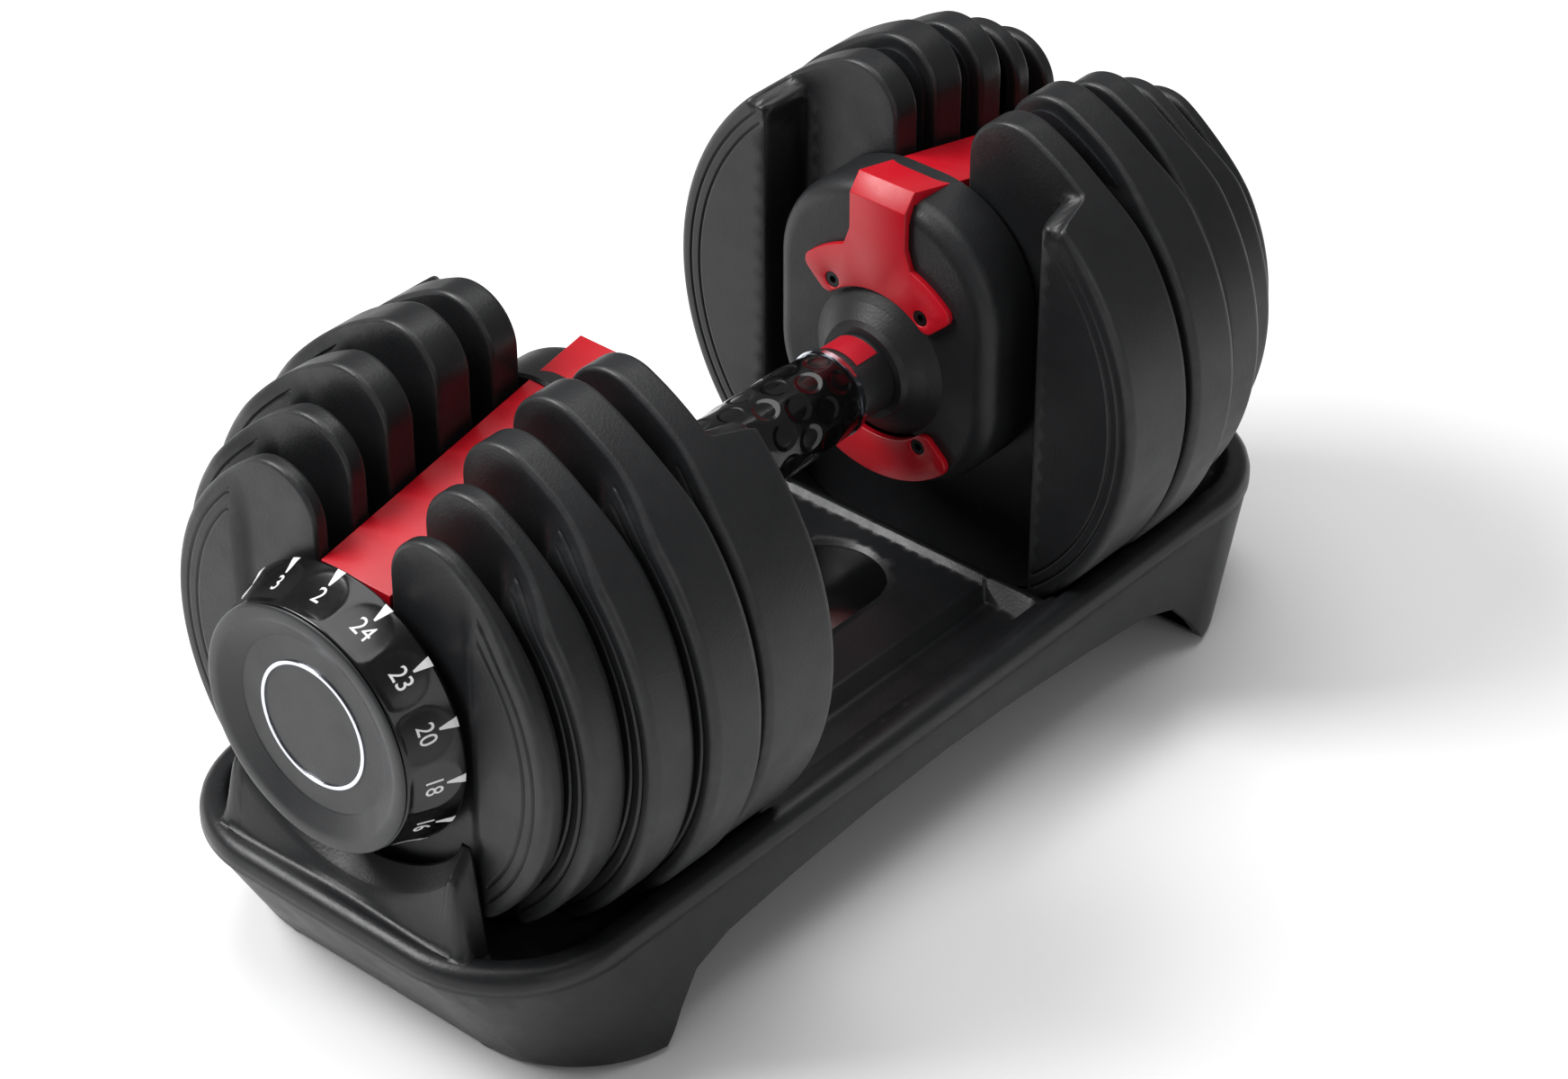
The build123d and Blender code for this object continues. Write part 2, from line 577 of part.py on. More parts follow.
def both(name, part):
    """Write a right-hand part and its mirror image as two nodes."""
    save(name.replace("*", "right"), part)
    save(name.replace("*", "left"), mirror(part, about=Plane.YZ))


def pair(name, *parts):
    """Write right-hand parts and their mirror images as one node."""
    save(name, *parts, *(mirror(part, about=Plane.YZ) for part in parts))


corners = [(sx, sy) for sx in (-1, 1) for sy in (-1, 1)]

save("stand_tray", stand_tray())
save("stand_base", stand_base())
save("badge_panel", badge_panel())
save("stand_feet", *(stand_foot(sx * FOOT_POS[0], sy * FOOT_POS[1]) for sx, sy in corners))
save("stand_screws", *(base_screw(sx * SCREW_POS[0], sy * SCREW_POS[1]) for sx, sy in corners))

save("handle_tube", handle_tube())
save("grip", grip())
pair("grip_rings", grip_ring())
pair("neck_collars", neck_collar())
pair("neck_labels", neck_label())
pair("axle_bolts", axle_bolt())
both("inner_cap_*", inner_cap())
both("bridge_*", bridge())
pair("lower_yokes", lower_yoke())
pair("cap_screws", *(cap_screw(sy * SCREW_Y, AXLE_Z + sz * SCREW_Z) for sy, sz in corners))

both("dial_*", dial())
both("dial_cover_*", dial_cover())
both("dial_trim_*", dial_trim())
both("selector_sleeve_*", sleeve())
for i in range(len(PLATES) - 1):
    both(f"selector_disc_*_{i + 1}", selector_disc(i))

for i, plate in enumerate(PLATES):
    both(f"plate_shell_*_{plate[0]}", plate_shell(i))
    both(f"plate_core_*_{plate[0]}", plate_core(i))
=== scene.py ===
import json
import math

import bmesh
import bpy
import numpy as np
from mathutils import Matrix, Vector
from mathutils.geometry import delaunay_2d_cdt


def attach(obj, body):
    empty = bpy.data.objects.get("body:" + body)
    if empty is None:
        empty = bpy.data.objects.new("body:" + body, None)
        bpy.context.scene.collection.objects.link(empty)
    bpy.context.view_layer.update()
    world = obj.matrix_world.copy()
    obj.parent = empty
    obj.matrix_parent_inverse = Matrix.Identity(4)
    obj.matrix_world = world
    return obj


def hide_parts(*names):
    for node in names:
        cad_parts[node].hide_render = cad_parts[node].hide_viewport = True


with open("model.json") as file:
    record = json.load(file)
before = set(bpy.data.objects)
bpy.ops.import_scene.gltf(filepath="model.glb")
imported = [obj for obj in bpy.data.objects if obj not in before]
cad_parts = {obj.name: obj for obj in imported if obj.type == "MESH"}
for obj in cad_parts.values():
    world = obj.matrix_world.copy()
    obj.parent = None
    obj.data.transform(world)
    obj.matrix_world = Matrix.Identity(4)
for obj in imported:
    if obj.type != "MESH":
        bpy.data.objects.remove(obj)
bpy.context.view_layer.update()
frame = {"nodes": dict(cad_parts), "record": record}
nodes = frame["nodes"]
MM = 0.001

# ---------------------------------------------------------------- sizes, in millimetres
AXLE_Z = 122.0
SLOT_HALF = 15.6
HORN_R = 18.0
PLATES = {                       # radius, inner face, outer face, rise, chord, inner recess
    "e": (101.0, 93.0, 105.0, 4.0, 58.0, 0.0),
    "d": (102.0, 111.5, 129.5, 5.0, 55.0, 3.0),
    "c": (97.0, 137.0, 151.5, 5.0, 53.0, 2.5),
    "b": (88.8, 159.0, 168.0, 6.5, 51.0, 1.5),
    "a": (80.4, 177.0, 183.5, 2.7, 49.0, 0.8),
}
INNER_CRES = 17.0
INNER_NOTCH = 77.0
EDGE_R = (1.7, 3.0)              # rounding of the horns and of the crescent rims
HORN_FADE = 24.0                 # height over which a crescent dies away into its horn
GROOVES = (5.5, 9.5)
GROOVE_HALF = 0.30
GROOVE_DEPTH = 0.7
TAB_R, TAB_ANGLE = (36.0, 41.0), (32.0, 46.0)   # lifting tab: radii, and degrees from straight up
TAB_ROOT, TAB_H = 0.5, 1.8
SIDES = {"left": -1, "right": 1}


# ---------------------------------------------------------------- materials
def node_of(tree, kind, **inputs):
    node = tree.nodes.new(kind)
    for key, value in inputs.items():
        node.inputs[key.replace("_", " ")].default_value = value
    return node


def material(name, dark, light, rough, grain=0.12, grain_mm=0.9, mottle=14.0, metallic=0.0,
             coat=0.0, specular=0.5, painted_highlight=0.0, scratch=0.0, rough_swing=0.06):
    """Moulded or metal finish: cloudy colour, uneven roughness, fine grain, and a painted highlight that
    lightens the colour along the mesh's weighted edges.
    """
    mat = bpy.data.materials.new(name)
    mat.use_nodes = True
    tree = mat.node_tree
    shader = tree.nodes["Principled BSDF"]
    shader.inputs["Metallic"].default_value = metallic
    shader.inputs["Coat Weight"].default_value = coat
    shader.inputs["Coat Roughness"].default_value = 0.08
    shader.inputs["Specular IOR Level"].default_value = specular
    link = tree.links.new
    place = tree.nodes.new("ShaderNodeTexCoord").outputs["Object"]

    cloud = node_of(tree, "ShaderNodeTexNoise", Scale=mottle, Detail=4.0, Roughness=0.6)
    link(place, cloud.inputs["Vector"])
    ramp = tree.nodes.new("ShaderNodeValToRGB")
    ramp.color_ramp.elements[0].position = 0.32
    ramp.color_ramp.elements[0].color = (*dark, 1)
    ramp.color_ramp.elements[1].position = 0.7
    ramp.color_ramp.elements[1].color = (*light, 1)
    link(cloud.outputs["Fac"], ramp.inputs["Fac"])
    colour = ramp.outputs["Color"]
    # painted highlight: base colour lightened along rounded edges and the step crest by the mesh's edge
    # weight, broken up by fine noise
    if painted_highlight:
        edge = tree.nodes.new("ShaderNodeAttribute")
        edge.attribute_name = "edge"
        highlight_noise = node_of(tree, "ShaderNodeTexNoise", Scale=240.0, Detail=3.0)
        link(place, highlight_noise.inputs["Vector"])
        highlight_mask = tree.nodes.new("ShaderNodeMath")
        highlight_mask.operation = "MULTIPLY"
        link(edge.outputs["Fac"], highlight_mask.inputs[0])
        link(highlight_noise.outputs["Fac"], highlight_mask.inputs[1])
        mix = tree.nodes.new("ShaderNodeMix")
        mix.data_type = "RGBA"
        link(highlight_mask.outputs[0], mix.inputs["Factor"])
        link(colour, mix.inputs["A"])
        mix.inputs["B"].default_value = tuple(c + painted_highlight for c in light) + (1,)
        colour = mix.outputs["Result"]
    link(colour, shader.inputs["Base Color"])

    sheen = node_of(tree, "ShaderNodeTexNoise", Scale=mottle * 5, Detail=5.0, Roughness=0.65)
    link(place, sheen.inputs["Vector"])
    span = node_of(tree, "ShaderNodeMapRange", To_Min=rough - rough_swing, To_Max=rough + rough_swing)
    span.inputs["From Min"].default_value = 0.3
    span.inputs["From Max"].default_value = 0.7
    link(sheen.outputs["Fac"], span.inputs["Value"])
    link(span.outputs["Result"], shader.inputs["Roughness"])

    pebble = node_of(tree, "ShaderNodeTexVoronoi", Scale=1000.0 / grain_mm)
    pebble.feature = "SMOOTH_F1"
    link(place, pebble.inputs["Vector"])
    bump = node_of(tree, "ShaderNodeBump", Strength=grain, Distance=0.15 * MM)
    link(pebble.outputs["Distance"], bump.inputs["Height"])
    normal = bump
    if scratch:
        hair = node_of(tree, "ShaderNodeTexNoise", Scale=90.0, Detail=6.0, Roughness=0.7)
        stretch = node_of(tree, "ShaderNodeMapping")
        stretch.inputs["Scale"].default_value = (1.0, 14.0, 14.0)
        link(place, stretch.inputs["Vector"])
        link(stretch.outputs["Vector"], hair.inputs["Vector"])
        normal = node_of(tree, "ShaderNodeBump", Strength=scratch, Distance=0.05 * MM)
        link(hair.outputs["Fac"], normal.inputs["Height"])
        link(bump.outputs["Normal"], normal.inputs["Normal"])
    link(normal.outputs["Normal"], shader.inputs["Normal"])
    return mat


def grey(v):
    return (v * 0.96, v, v * 1.1)


MATS = {
    # the plates carry a painted edge highlight in their colour
    "plate_skin": material("plate_skin", grey(0.0085), grey(0.0135), 0.40, grain=0.30, painted_highlight=0.02,
                           specular=0.36),
    "tray_plastic": material("tray_plastic", grey(0.0085), grey(0.013), 0.38, grain=0.28, specular=0.36),
    "base_plastic": material("base_plastic", grey(0.009), grey(0.014), 0.42, grain=0.28, specular=0.36),
    "panel_gloss": material("panel_gloss", grey(0.003), grey(0.006), 0.10, grain=0.03, coat=0.5),
    "foot_rubber": material("foot_rubber", grey(0.008), grey(0.014), 0.8, grain=0.5, grain_mm=0.6),
    "screw_steel": material("screw_steel", grey(0.30), grey(0.42), 0.34, metallic=1.0, scratch=0.2),
    "tube_steel": material("tube_steel", grey(0.40), grey(0.52), 0.25, metallic=1.0, scratch=0.3),
    "grip_gloss": material("grip_gloss", grey(0.0015), grey(0.003), 0.16, grain=0.02, coat=0.2, specular=0.4),
    "chrome": material("chrome", grey(0.72), grey(0.80), 0.08, grain=0.01, metallic=1.0, scratch=0.05,
                       rough_swing=0.03),
    "collar_plastic": material("collar_plastic", grey(0.010), grey(0.015), 0.40, grain=0.25),
    "label_red": material("label_red", (0.34, 0.003, 0.012), (0.42, 0.005, 0.016), 0.4, grain=0.1),
    "cap_plastic": material("cap_plastic", grey(0.0085), grey(0.013), 0.44, grain=0.32, specular=0.36),
    "strap_red": material("strap_red", (0.40, 0.0012, 0.008), (0.48, 0.002, 0.012), 0.38, grain=0.12,
                          grain_mm=0.5, scratch=0.06),
    "screw_black": material("screw_black", grey(0.004), grey(0.010), 0.35, metallic=0.6, scratch=0.2),
    "dial_black": material("dial_black", grey(0.002), grey(0.0035), 0.2, grain=0.02, coat=0.15, specular=0.4),
    "dial_graphite": material("dial_graphite", grey(0.013), grey(0.018), 0.40, grain=0.2),
    "selector_plastic": material("selector_plastic", grey(0.008), grey(0.014), 0.5, grain=0.2),
    "plate_steel": material("plate_steel", grey(0.05), grey(0.09), 0.55, metallic=1.0, grain=0.6),
    "number_white": material("number_white", (0.78, 0.78, 0.78), (0.86, 0.86, 0.86), 0.45, grain=0.1,
                             grain_mm=0.4),
    "floor_white": material("floor_white", (0.90, 0.90, 0.90), (0.93, 0.93, 0.93), 0.85, grain=0.05,
                            grain_mm=3.0, mottle=2.0),
}
slots = {row["node"]: row["material_slot"] for row in frame["record"]["subparts"]}
for name, node in nodes.items():
    node.data.materials.clear()
    node.data.materials.append(MATS[slots[name]])


# ---------------------------------------------------------------- mesh helpers
def piece(name, verts, faces, mat, body, slot=None, stands_for=(), smooth=True, edge=None):
    """A new mesh in millimetres about the frame origin, riding on a body."""
    mesh = bpy.data.meshes.new(name)
    mesh.from_pydata([tuple(c * MM for c in v) for v in verts], [], faces)
    mesh.validate()
    bm = bmesh.new()
    bm.from_mesh(mesh)
    bmesh.ops.recalc_face_normals(bm, faces=bm.faces)
    bm.to_mesh(mesh)
    bm.free()
    mesh.polygons.foreach_set("use_smooth", [smooth] * len(mesh.polygons))
    if edge is not None:
        # edge weights set where the material paints its highlight
        mesh.attributes.new("edge", "FLOAT", "POINT").data.foreach_set("value", np.asarray(edge, np.float32))
    mesh.materials.append(MATS[mat])
    obj = bpy.data.objects.new(name, mesh)
    bpy.context.scene.collection.objects.link(obj)
    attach(obj, body)
    if stands_for:
        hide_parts(*stands_for)
    return obj


def smoothstep(t):
    t = np.clip(t, 0.0, 1.0)
    return t * t * (3 - 2 * t)


def resample(points, spacing):
    """A closed line through the points at an even spacing."""
    pts = np.array(points, float)
    seg = np.linalg.norm(np.roll(pts, -1, 0) - pts, axis=1)
    along = np.concatenate([[0], np.cumsum(seg)])
    count = int(along[-1] / spacing)
    at = np.linspace(0, along[-1], count, endpoint=False)
    closed = np.vstack([pts, pts[:1]])
    return np.column_stack([np.interp(at, along, closed[:, k]) for k in (0, 1)])


def inward(loop):
    """Unit normals pointing into an anticlockwise loop."""
    t = np.roll(loop, -1, 0) - np.roll(loop, 1, 0)
    t /= np.linalg.norm(t, axis=1)[:, None]
    return np.column_stack([-t[:, 1], t[:, 0]])


def arc(cy, cz, r, a0, a1, n):
    return [(cy + r * math.cos(a), cz + r * math.sin(a)) for a in np.linspace(a0, a1, n)]


def plate_outline(radius):
    """(y, z) loop of a slotted plate, anticlockwise."""
    qy = SLOT_HALF + HORN_R
    qz = math.sqrt((radius - HORN_R) ** 2 - qy ** 2)
    tip = math.atan2(qz, qy)
    right = arc(qy, qz, HORN_R, math.pi, tip, 24)[::-1]
    left = [(-y, z) for y, z in right[::-1]]
    rim = arc(0, 0, radius, math.pi - tip, 2 * math.pi + tip, 400)[1:-1]
    bottom = arc(0, 0, SLOT_HALF, 2 * math.pi, math.pi, 40)
    return resample(right + bottom + left + rim, 1.6)


class Plate:
    def __init__(self, letter):
        self.letter = letter
        self.r, self.x_in, self.x_out, self.rise, self.chord, self.recess = PLATES[letter]

    def raised(self, y, z):
        """How far the crescent has risen: an S-step across, fading out towards the horns."""
        top = math.sqrt((self.r - 1.0) ** 2 - (self.chord + 1.0) ** 2)
        return smoothstep((np.abs(y) - (self.chord - 4.5)) / 8.0) * smoothstep((top - z) / HORN_FADE)

    def groove(self, y, z, top):
        rr = np.hypot(y, z)
        cut = np.zeros_like(rr)
        for inset in GROOVES:
            cut += smoothstep((GROOVE_HALF + 0.12 - np.abs(rr - (self.r - inset))) / 0.25)
        start = smoothstep((np.abs(y) - self.chord - 3.5) / 1.5) * smoothstep((top - z) / 3.0)
        return cut * start * GROOVE_DEPTH

    def outer(self, y, z):
        return self.x_out + self.rise * self.raised(y, z) - self.groove(y, z, self.r)

    def inner(self, y, z):
        if self.letter != "e":
            return self.x_in + self.recess * (1 - self.raised(y, z))
        side = smoothstep((np.abs(y) - (self.chord - 2.0)) / 4.5)
        step = smoothstep((INNER_NOTCH - z) / 4.5)
        return self.x_in - INNER_CRES * side * step + self.groove(y, z, INNER_NOTCH - 5)


def band_lines(plate, inner):
    """Lines that the face mesh has to follow: the step, its top end and the grooves."""
    lines = []
    c, r = plate.chord, plate.r
    reach = lambda y, d: math.sqrt(max((r - d) ** 2 - y * y, 1.0))
    low, high = (c - 2.2, c + 2.7) if inner and plate.letter == "e" else (c - 4.7, c + 3.7)
    top_cap = INNER_NOTCH - 6 if inner and plate.letter == "e" else r
    for sign in (-1, 1):
        for y in np.linspace(low, high, 8):
            h = reach(y, 4.5)
            n = int(2 * h / 3.0)
            zs = np.linspace(-h, min(h, top_cap), n)
            lines.append([(sign * y, z) for z in zs])
        if inner and plate.letter == "e":
            for z in np.linspace(INNER_NOTCH - 4.7, INNER_NOTCH + 0.2, 8):
                y1 = math.sqrt((r - 4.5) ** 2 - z * z)
                if y1 > c - 3:
                    lines.append([(sign * y, z) for y in np.linspace(c - 3.5, y1, 5)])
        if inner and plate.letter != "e":
            continue
        for inset in GROOVES:
            for d in (-1.1, -0.44, -0.18, 0.18, 0.44, 1.1):
                rr = r - inset + d
                a1 = math.acos(min((c + 4.0) / rr, 1.0))
                if inner:
                    a1 = min(a1, math.asin((INNER_NOTCH - 5.5) / rr))
                a0 = -math.acos(min((c + 4.0) / rr, 1.0))
                n = int((a1 - a0) * rr / 2.2)
                lines.append([(sign * rr * math.cos(a), rr * math.sin(a)) for a in np.linspace(a0, a1, n)])
    return lines


def face_cap(loop, lines, spacing, clear):
    """Triangles inside a loop, following the given lines."""
    pts = [Vector(p) for p in loop]
    n = len(pts)
    edges = []
    for line in lines:
        base = len(pts)
        pts += [Vector(p) for p in line]
        edges += [(base + i, base + i + 1) for i in range(len(line) - 1)]
    kept = np.array([tuple(p) for p in pts])
    lo, hi = kept.min(0), kept.max(0)
    rows = []
    for j, z in enumerate(np.arange(lo[1], hi[1], spacing * 0.87)):
        shift = spacing / 2 if j % 2 else 0.0
        rows += [(y + shift, z) for y in np.arange(lo[0], hi[0], spacing)]
    grid = np.array(rows)
    near = np.full(len(grid), np.inf)
    for start in range(0, len(kept), 400):
        d = np.hypot(grid[:, None, 0] - kept[None, start:start + 400, 0],
                     grid[:, None, 1] - kept[None, start:start + 400, 1]).min(1)
        near = np.minimum(near, d)
    pts += [Vector(p) for p in grid[near > clear]]
    out = delaunay_2d_cdt(pts, edges, [list(range(n))], 1, 1e-5)
    return np.array([tuple(p) for p in out[0]]), [list(f) for f in out[2]], out[3]


def plate_mesh(letter):
    """Vertices (x, y, z about the axle), faces and painted-highlight edge weights of one right-hand plate."""
    plate = Plate(letter)
    loop = plate_outline(plate.r)
    normal = inward(loop)
    n = len(loop)
    lift = plate.raised(loop[:, 0], loop[:, 1])
    on_rim = np.hypot(loop[:, 0], loop[:, 1]) > plate.r - 0.5
    round_r = EDGE_R[0] + (EDGE_R[1] - EDGE_R[0]) * lift * on_rim
    round_r = np.minimum(round_r, (plate.x_out - plate.x_in) * 0.42)
    verts, faces, edge = [], [], []

    def ring(points, xs, weight):
        base = len(verts)
        verts.extend((x, p[0], p[1]) for x, p in zip(xs, points))
        edge.extend([weight] * n)
        return base

    bases = []
    steps = 5
    faces_of = {1: plate.outer, -1: plate.inner}
    for way in (1, -1):
        height = faces_of[way](*(loop + normal * round_r[:, None]).T)
        rings = []
        rings.append(ring(loop, height - way * (round_r + 0.5), 0.2))
        for k in range(steps + 1):
            a = math.pi / 2 * k / steps
            points = loop + normal * (round_r * (1 - math.cos(a)))[:, None]
            xs = height - way * round_r * (1 - math.sin(a))
            # painted highlight weight, strongest halfway round the rounding where light catches the fillet
            rings.append(ring(points, xs, 0.2 + 0.8 * math.sin(2 * a)))
        bases.append((rings, loop + normal * round_r[:, None], way))
    outer_rings, inner_rings = bases[0][0], bases[1][0]

    def strip(a, b):
        for i in range(n):
            j = (i + 1) % n
            faces.append((a + i, a + j, b + j, b + i))

    strip(inner_rings[0], outer_rings[0])
    for rings in (outer_rings, inner_rings):
        for a, b in zip(rings, rings[1:]):
            strip(a, b)
    for rings, last, way in bases:
        lines = band_lines(plate, way < 0) if way > 0 or plate.letter == "e" or plate.recess > 0 else []
        flat, tris, origin = face_cap(last, lines, 5.0, 2.2)
        xs = faces_of[way](flat[:, 0], flat[:, 1])
        index = []
        for k, source in enumerate(origin):
            first = [s for s in source if s < n]
            if first:
                index.append(rings[-1] + first[0])
            else:
                index.append(len(verts))
                verts.append((xs[k], flat[k, 0], flat[k, 1]))
                t = float(plate.raised(flat[k, 0], flat[k, 1]))
                # painted highlight weight along the upper half of the S-step, where light catches its crest
                edge.append(3.0 * t * (1 - t) * (t > 0.5))
        faces.extend([tuple(index[i] for i in tri) for tri in tris])
    return verts, faces, edge


def sector_block(r0, r1, a0, a1, x0, x1, n=8):
    """Closed arc-shaped block, angles from straight up towards +Y."""
    verts, faces = [], []
    for a in np.linspace(math.radians(a0), math.radians(a1), n):
        for r, x in ((r0, x0), (r1, x0), (r1, x1), (r0, x1)):
            verts.append((x, r * math.sin(a), r * math.cos(a)))
    for i in range(n - 1):
        for k in range(4):
            m = (k + 1) % 4
            faces.append((4 * i + k, 4 * i + m, 4 * i + 4 + m, 4 * i + 4 + k))
    faces += [(0, 1, 2, 3), (4 * n - 1, 4 * n - 2, 4 * n - 3, 4 * n - 4)]
    return verts, faces


# added blocks take a flat painted-highlight weight
def add(mesh, extra, weight=0.3):
    verts, faces, edge = mesh
    base = len(verts)
    verts.extend(extra[0])
    faces.extend([tuple(base + i for i in f) for f in extra[1]])
    edge.extend([weight] * len(extra[0]))


for letter, row in PLATES.items():
    mesh = plate_mesh(letter)
    for side in (-1, 1):
        a0, a1 = sorted(side * angle for angle in TAB_ANGLE)
        add(mesh, sector_block(*TAB_R, a0, a1, row[2] - TAB_ROOT, row[2] + TAB_H))
    for side, sign in SIDES.items():
        verts = [(sign * x, y, z + AXLE_Z) for x, y, z in mesh[0]]
        piece(f"plate_{side}_{letter}_moulding", verts, mesh[1], "plate_skin", f"plate_{side}_{letter}",
              stands_for=[f"plate_shell_{side}_{letter}"], edge=mesh[2])


# ---------------------------------------------------------------- dials
BAND = ((187.0, 49.0), (207.0, 43.0))      # back and front edge of the numbered band
SETTINGS = (2, 24, 23, 20, 18, 16, 14, 11, 10, 9, 8, 7, 5, 4, 3)
PITCH = 2 * math.pi / len(SETTINGS)
CELL_DEPTH = 0.7
CELL_CENTRE, CELL_HALF = 0.62, 0.50        # along the band, 0 back to 1 front
CELL_WIDTH = 0.49                          # half width in pitches
DIGIT_SIZE, DIGIT_SHARE = 8.6, 0.55
WEDGE_LENGTH, WEDGE_HALF = 6.0, (0.35, 1.7)    # half width at the tip and at the back
WEDGE_SHARE = 0.335
MARK_PROUD, MARK_SUNK = 0.14, -0.12
DIGIT_SQUEEZE = 0.84
BAND_STEPS = (15 * 24, 34)                 # mesh columns round the band and rows along it
# (x, radius) outlines: ends of the band section, trim ring, and the dished front of the dial
BAND_BACK = ((187.0, 38.0), (187.0, 47.6), (187.1, 48.2), (187.45, 48.6))
BAND_FRONT = ((206.9, 42.8), (206.95, 42.4), (206.95, 38.2), (191.3, 38.2), (191.3, 37.0))
TRIM = ((204.0, 20.95), (204.9, 20.95), (205.05, 21.05), (205.1, 21.3), (205.1, 22.1), (205.05, 22.3),
        (204.9, 22.4), (204.0, 22.4))
FRONT = ((202.5, 0.0), (202.5, 37.2), (202.8, 37.7), (206.8, 37.7), (207.1, 38.0), (207.1, 42.3),
         (207.3, 42.75), (207.6, 42.9), (207.95, 42.65), (208.25, 42.1), (208.43, 41.3), (208.5, 40.4),
         (208.48, 39.2), (208.36, 38.4), (208.1, 37.7), (207.7, 36.9), (206.3, 34.1), (205.3, 32.1),
         (204.98, 31.5), (204.82, 31.1), (204.62, 30.9), (204.52, 30.7), (204.5, 30.3), (204.5, 26.0),
         (204.5, 0.0))


def band_point(share, angle, proud=0.0):
    """Point of the numbered band in the left dial's frame; angle from straight up towards -Y."""
    (x0, r0), (x1, r1) = BAND
    share = np.asarray(share, float)
    near = (np.asarray(angle) / PITCH + 0.5) % 1.0 - 0.5
    bowl = 1 - ((share - CELL_CENTRE) / CELL_HALF) ** 2 - (near / CELL_WIDTH) ** 2
    fade = smoothstep((1.0 - share) / 0.14)
    r = r0 + (r1 - r0) * share - CELL_DEPTH * fade * np.clip(bowl, 0, 1) ** 0.7 + proud
    x = x0 + (x1 - x0) * share
    return x, r


def lathe(path, sign=1, around=160):
    """Turn an (x, radius) path about the axle; ends on the axis close in a point."""
    verts, faces, columns = [], [], []
    for x, r in path:
        if r == 0:
            columns.append([len(verts)] * around)
            verts.append((sign * x, 0.0, AXLE_Z))
            continue
        columns.append(list(range(len(verts), len(verts) + around)))
        for a in np.linspace(0, 2 * math.pi, around, endpoint=False):
            verts.append((sign * x, r * math.sin(a), AXLE_Z + r * math.cos(a)))
    pairs = list(zip(columns, columns[1:]))
    if path[0][1] and path[-1][1]:
        pairs.append((columns[-1], columns[0]))
    for low, high in pairs:
        for i in range(around):
            j = (i + 1) % around
            quad = dict.fromkeys((low[i], low[j], high[j], high[i]))
            faces.append(tuple(quad))
    return verts, faces


def wedge_flat(across=4, along=14):
    """Flat grid of one marker wedge, fine enough to follow the band."""
    verts, faces = [], []
    for j in range(along + 1):
        v = WEDGE_LENGTH * j / along
        half = WEDGE_HALF[0] + (WEDGE_HALF[1] - WEDGE_HALF[0]) * j / along
        verts += [(-half + 2 * half * i / across, v) for i in range(across + 1)]
    row = across + 1
    for j in range(along):
        for i in range(across):
            a = j * row + i
            faces.append((a, a + 1, a + row + 1, a + row))
    return verts, faces


def dial_band(side, sign):
    turn = -sign
    around, along = BAND_STEPS
    verts, faces = [], []
    shares = np.linspace(0.05, 0.985, along)
    for i in range(around):
        a = 2 * math.pi * i / around
        xs, rs = band_point(shares, a)
        path = [*BAND_BACK, *zip(xs, rs), *BAND_FRONT]
        for x, r in path:
            verts.append((sign * x, turn * -r * math.sin(a), AXLE_Z + r * math.cos(a)))
    m = len(path)
    for i in range(around):
        j = (i + 1) % around
        for k in range(m - 1):
            faces.append((i * m + k, i * m + k + 1, j * m + k + 1, j * m + k))
        faces.append((i * m + m - 1, i * m, j * m, j * m + m - 1))
    return piece(f"dial_{side}_band", verts, faces, "dial_black", f"dial_{side}")


def on_band(sign, flat, angle, centre, proud):
    """Bend flat points (across, towards the plates) in millimetres onto the band."""
    turn = -sign
    length = math.hypot(BAND[1][0] - BAND[0][0], BAND[1][1] - BAND[0][1])
    out = []
    for u, v in flat:
        share = centre - v / length
        r_mid = BAND[0][1] + (BAND[1][1] - BAND[0][1]) * share
        a = angle + u / r_mid
        x, r = band_point(share, a, proud)
        out.append((sign * float(x), turn * -float(r) * math.sin(a), AXLE_Z + float(r) * math.cos(a)))
    return out


def text_flat(text, size, squeeze):
    curve = bpy.data.curves.new("t", "FONT")
    curve.body = text
    curve.size = size
    curve.align_x = "CENTER"
    curve.align_y = "CENTER"
    curve.resolution_u = 4
    holder = bpy.data.objects.new("t", curve)
    bpy.context.scene.collection.objects.link(holder)
    bpy.context.view_layer.update()
    mesh = bpy.data.meshes.new_from_object(holder)
    verts = [(v.co.x * squeeze, v.co.y) for v in mesh.vertices]
    faces = [tuple(p.vertices) for p in mesh.polygons]
    bpy.data.objects.remove(holder)
    bpy.data.curves.remove(curve)
    bpy.data.meshes.remove(mesh)
    return verts, faces


def thin_solid(flat, faces, place, t):
    """Closed thin solid from flat faces: top and bottom placed at two heights."""
    top, low = place(t), place(MARK_SUNK)
    n = len(flat)
    count = {}
    for f in faces:
        for a, b in zip(f, f[1:] + f[:1]):
            count[(a, b)] = count.get((a, b), 0) + 1
    rim = [(a, b) for (a, b) in count if (b, a) not in count]
    out = list(faces) + [tuple(n + i for i in f[::-1]) for f in faces]
    out += [(b, a, n + a, n + b) for a, b in rim]
    return top + low, out


